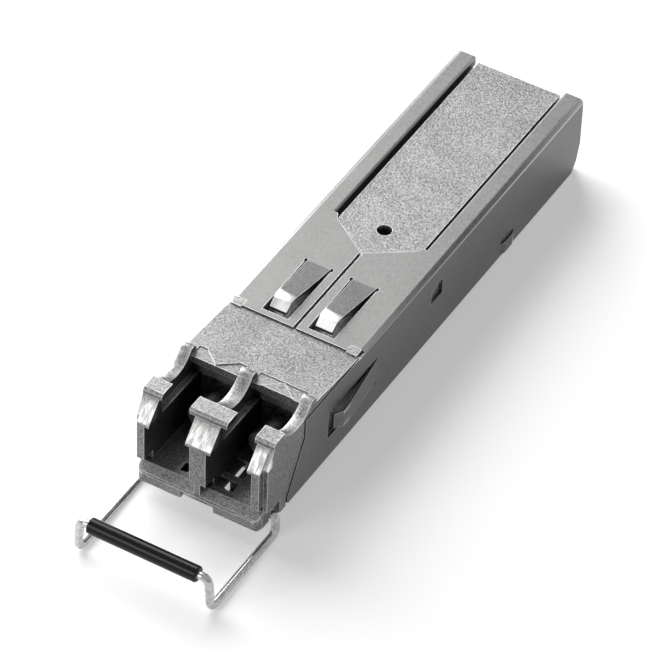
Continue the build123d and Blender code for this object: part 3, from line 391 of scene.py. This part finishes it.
@dataclass
class Dresser:
    """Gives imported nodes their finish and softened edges."""

    nodes: dict
    weld_mm: float = 0.0005
    flat_deg: float = 1.0
    sharp_deg: float = 28.0
    edge_steps: int = 2

    def dress(self, name: str, material: bpy.types.Material, edge_mm: float = 0.0) -> None:
        """Sets a node's material and rounds its sharp edges.

        Args:
            name: The node.
            material: Its finish.
            edge_mm: Width of the rounding, or zero for none.
        """
        node = self.nodes[name]
        if not node.material_slots:
            node.data.materials.append(material)
        for slot in node.material_slots:
            slot.material = material
        if edge_mm:
            weld = node.modifiers.new("weld", "WELD")
            weld.merge_threshold = self.weld_mm * MM
            flat = node.modifiers.new("flat_faces", "DECIMATE")
            flat.decimate_type = "DISSOLVE"
            flat.angle_limit = radians(self.flat_deg)
            bevel = node.modifiers.new("soft_edges", "BEVEL")
            bevel.width = edge_mm * MM
            bevel.segments = self.edge_steps
            bevel.limit_method = "ANGLE"
            bevel.angle_limit = radians(self.sharp_deg)
            bevel.harden_normals = True
            bevel.use_clamp_overlap = True
        LOG.info("dressed %s with %s", name, material.name)


@dataclass
class Casting:
    """The cast housing, whose ramps under the teeth carry a painted highlight in ragged streaks and whose
    hollows carry painted shade.
    """

    edge_mm: float = 0.07
    ramp_front_mm: float = -27.2
    ramp_foot_mm: float = 6.95

    def build(self, dresser: Dresser) -> None:
        """Dresses the housing."""
        # The finish paints a highlight on the ramps under the teeth and paints shade in the hollows
        finish = MetalFinish(
            "cast_zinc",
            grain_mm=0.2,
            grain_depth_mm=0.032,
            roughness=0.38,
            hollow_mm=6.0,
            edge_mm=0.1,
            highlight_patch=HighlightPatch(front_mm=self.ramp_front_mm, top_mm=self.ramp_foot_mm),
        )
        dresser.dress("housing", finish.make(), self.edge_mm)


@dataclass
class FoldedShell:
    """The folded sheet, whose top fingers carry a painted highlight at their bent tips."""

    edge_mm: float = 0.03
    finger_bend_mm: float = -9.8
    finger_low_mm: float = 8.52

    def build(self, dresser: Dresser) -> None:
        """Dresses the shell."""
        # The finish paints a highlight on the bent tips of the top fingers
        finish = MetalFinish(
            "spring_sheet",
            dark=(0.125, 0.125, 0.123),
            light=(0.195, 0.195, 0.192),
            grain_mm=0.16,
            grain_depth_mm=0.004,
            roughness=0.4,
            edge_mm=0.07,
            streak=3.0,
            highlight_patch=HighlightPatch(front_mm=self.finger_bend_mm, top_mm=self.finger_low_mm, grain_mm=3.0),
        )
        dresser.dress("shell", finish.make(), self.edge_mm)


@dataclass
class Bail:
    """The wire bail and the tube over its crossbar."""

    def build(self, dresser: Dresser) -> None:
        """Dresses the wire and the tube."""
        wire = MetalFinish(
            "bright_wire",
            dark=(0.42, 0.42, 0.41),
            light=(0.62, 0.62, 0.61),
            grain_mm=0.5,
            grain_depth_mm=0.001,
            roughness=0.2,
        )
        dresser.dress("bail_wire", wire.make())
        tube = PlainFinish("black_tube", (0.004, 0.004, 0.0045), roughness=0.2, gloss=0.22)
        dresser.dress("bail_sleeve", tube.make())


@dataclass
class Latch:
    """The lever, its pin and its leaf spring."""

    edge_mm: float = 0.03

    def build(self, dresser: Dresser) -> None:
        """Dresses the latch's pieces."""
        lever = MetalFinish("lever_steel", dark=(0.08, 0.08, 0.078), light=(0.2, 0.2, 0.195), roughness=0.4)
        dresser.dress("latch_lever", lever.make(), self.edge_mm)
        ground = MetalFinish("pin_steel", (0.4, 0.4, 0.4), (0.55, 0.55, 0.54), roughness=0.25).make()
        dresser.dress("lever_pin", ground)
        dresser.dress("latch_spring", ground)


@dataclass
class Optics:
    """The optical parts behind and in the ports."""

    def build(self, dresser: Dresser) -> None:
        """Dresses the sleeves, cans, stubs, gaskets, clamp and leads."""
        turned = MetalFinish("turned_steel", (0.3, 0.3, 0.3), (0.42, 0.42, 0.41), roughness=0.3).make()
        can = MetalFinish("plated_can", (0.55, 0.47, 0.3), (0.68, 0.58, 0.38), roughness=0.28).make()
        film = PlainFinish("amber_film", (0.45, 0.2, 0.03), roughness=0.35, coat=0.3).make()
        for channel in Channel:
            dresser.dress(channel.node("sleeve"), turned)
            dresser.dress(channel.node("can"), can)
            dresser.dress(channel.node("flex"), film)
        dresser.dress("fibre_stubs", PlainFinish("white_ceramic", (0.85, 0.85, 0.82), roughness=0.2).make())
        dresser.dress("sleeve_gaskets", PlainFinish("black_rubber", (0.03, 0.03, 0.03), roughness=0.7).make())
        dresser.dress("optics_clamp", turned)


@dataclass
class Board:
    """The circuit board and everything on it."""

    def build(self, dresser: Dresser) -> None:
        """Dresses the board, its contacts, chips and small parts."""
        mask = PlainFinish("green_mask", (0.01, 0.13, 0.05), roughness=0.35, coat=0.4)
        dresser.dress("circuit_board", mask.make())
        gold = MetalFinish("contact_gold", (0.75, 0.5, 0.15), (0.85, 0.6, 0.22), roughness=0.25).make()
        dresser.dress("top_contacts", gold)
        dresser.dress("bottom_contacts", gold)
        moulded = PlainFinish("moulded_black", (0.02, 0.02, 0.022), roughness=0.55).make()
        for chip in ("driver_chip", "amplifier_chip", "controller_chip"):
            dresser.dress(chip, moulded)
        dresser.dress("heat_pad", PlainFinish("soft_grey", (0.3, 0.33, 0.38), roughness=0.8).make())
        dresser.dress("capacitors", PlainFinish("tan_ceramic", (0.35, 0.2, 0.09), roughness=0.5).make())
        dresser.dress("resistors", PlainFinish("black_film", (0.02, 0.02, 0.02), roughness=0.45).make())


@dataclass
class Studio:
    """A pale floor, a large soft light on the left, a small one in front and a pale surround."""

    floor_size: float = 3.0
    floor_colour: tuple = (0.8, 0.8, 0.8)
    floor_glow: float = 0.42
    surround_light: float = 0.1
    surround_seen: float = 0.55
    key_place: tuple = (-0.37, 0.185, 0.3)
    key_size: float = 0.5
    key_power: float = 4.4
    front_place: tuple = (-0.2, -0.42, 0.24)
    front_size: float = 0.24
    front_power: float = 0.6

    def build(self, rest_front: tuple, rest_rear: tuple) -> None:
        """Makes the floor, the lights and the world.

        Args:
            rest_front: Y and Z where the front rests, in metres.
            rest_rear: Y and Z where the rear rests, in metres.
        """
        self._floor(rest_front, rest_rear)
        self._world()
        self._lamp("key", self.key_place, self.key_size, self.key_power)
        self._lamp("front", self.front_place, self.front_size, self.front_power)

    def _floor(self, front: tuple, rear: tuple) -> None:
        """Lays the floor through both resting places."""
        slope = (rear[1] - front[1]) / (rear[0] - front[0])
        mesh = bmesh.new()
        bmesh.ops.create_grid(mesh, x_segments=1, y_segments=1, size=self.floor_size / 2)
        for vertex in mesh.verts:
            vertex.co.z = front[1] + (vertex.co.y - front[0]) * slope
        data = bpy.data.meshes.new("floor")
        mesh.to_mesh(data)
        mesh.free()
        floor = bpy.data.objects.new("floor", data)
        bpy.context.scene.collection.objects.link(floor)
        tree = NodeTree.named("pale_floor")
        diffuse = tree.add("BsdfDiffuse")
        diffuse.inputs["Color"].default_value = (*self.floor_colour, 1.0)
        glow = tree.add("Emission")
        glow.inputs["Color"].default_value = WHITE
        seen = self._seen(tree)
        tree.link(tree.math("MULTIPLY", seen, self.floor_glow), glow.inputs["Strength"])
        both = tree.add("AddShader")
        tree.link(diffuse.outputs[0], both.inputs[0])
        tree.link(glow.outputs[0], both.inputs[1])
        floor.data.materials.append(tree.finish(both))

    def _seen(self, tree: NodeTree) -> Socket:
        """One for what the camera, a gloss or a clear surface sees, and zero for stray light."""
        path = tree.add("LightPath")
        gloss = tree.math("MAXIMUM", path.outputs["Is Camera Ray"], path.outputs["Is Glossy Ray"])
        return tree.math("MAXIMUM", gloss, path.outputs["Is Transmission Ray"])

    def _world(self) -> None:
        """Makes the pale surround."""
        world = bpy.data.worlds.new("surround")
        bpy.context.scene.world = world
        tree = NodeTree.emptied(world)
        background = tree.add("Background")
        background.inputs["Color"].default_value = WHITE
        strength = tree.ramp(self._seen(tree), 0.0, 1.0, self.surround_light, self.surround_seen)
        tree.link(strength, background.inputs["Strength"])
        output = tree.add("OutputWorld")
        tree.link(background.outputs[0], output.inputs["Surface"])

    def _lamp(self, name: str, place: tuple, size: float, power: float) -> None:
        """Adds a square soft light that faces the module.

        Args:
            name: The lamp's name.
            place: Where it stands, in metres.
            size: Its side.
            power: Its power in watts.
        """
        data = bpy.data.lights.new(name, "AREA")
        data.size = size
        data.energy = power
        lamp = bpy.data.objects.new(name, data)
        lamp.location = place
        lamp.rotation_euler = (-Vector(place)).to_track_quat("-Z", "Y").to_euler()
        bpy.context.scene.collection.objects.link(lamp)


@dataclass
class PhotoCamera:
    """The photograph's viewpoint, worked out from the module's known sizes.

    The offset and the distance are those of the middle of the rear edge on the flat bottom.
    """

    azimuth: float = 29.25
    elevation: float = 43.375
    roll: float = -2.247
    focal_px: float = 4750.6
    image_px: int = 661
    offset_px: tuple = (184.77, -187.59)
    distance: float = 0.44909
    rear_end: float = 0.028
    sensor_mm: float = 36.0
    nearest: float = 0.01
    farthest: float = 20.0

    def build(self) -> None:
        """Creates the camera and makes it the scene's camera."""
        a, e, r = radians(self.azimuth), radians(self.elevation), radians(self.roll)
        forward = -Vector((sin(a) * cos(e), -cos(a) * cos(e), sin(e)))
        level = forward.cross(Vector((0, 0, 1))).normalized()
        down = forward.cross(level)
        right = cos(r) * level + sin(r) * down
        low = -sin(r) * level + cos(r) * down
        across, under = (offset * self.distance / self.focal_px for offset in self.offset_px)
        place = Vector((0, self.rear_end, 0)) - (across * right + under * low + self.distance * forward)
        data = bpy.data.cameras.new("photo_view")
        data.sensor_width = self.sensor_mm
        data.lens = data.sensor_width * self.focal_px / self.image_px
        data.clip_start = self.nearest
        data.clip_end = self.farthest
        camera = bpy.data.objects.new("photo_view", data)
        turn = Matrix((right, -low, -forward)).transposed()
        camera.matrix_world = Matrix.Translation(place) @ turn.to_4x4()
        bpy.context.scene.collection.objects.link(camera)
        bpy.context.scene.camera = camera


def main() -> None:
    """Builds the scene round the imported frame."""
    logging.basicConfig(level=logging.INFO, format="%(message)s")
    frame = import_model()
    bpy.context.scene.view_settings.view_transform = "Standard"
    dresser = Dresser(frame["nodes"])
    for part in (Casting(), FoldedShell(), Bail(), Latch(), Optics(), Board()):
        part.build(dresser)
        LOG.info("built %s", type(part).__name__)
    bail_low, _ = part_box("bail_wire")
    shell_low, shell_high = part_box("shell")
    rest_front = (bail_low[1] + BAIL_REST_IN, bail_low[2])
    rest_rear = (shell_high[1] - REAR_REST_IN, shell_low[2])
    Studio().build(rest_front, rest_rear)
    PhotoCamera().build()


if __name__ == "__main__":
    main()
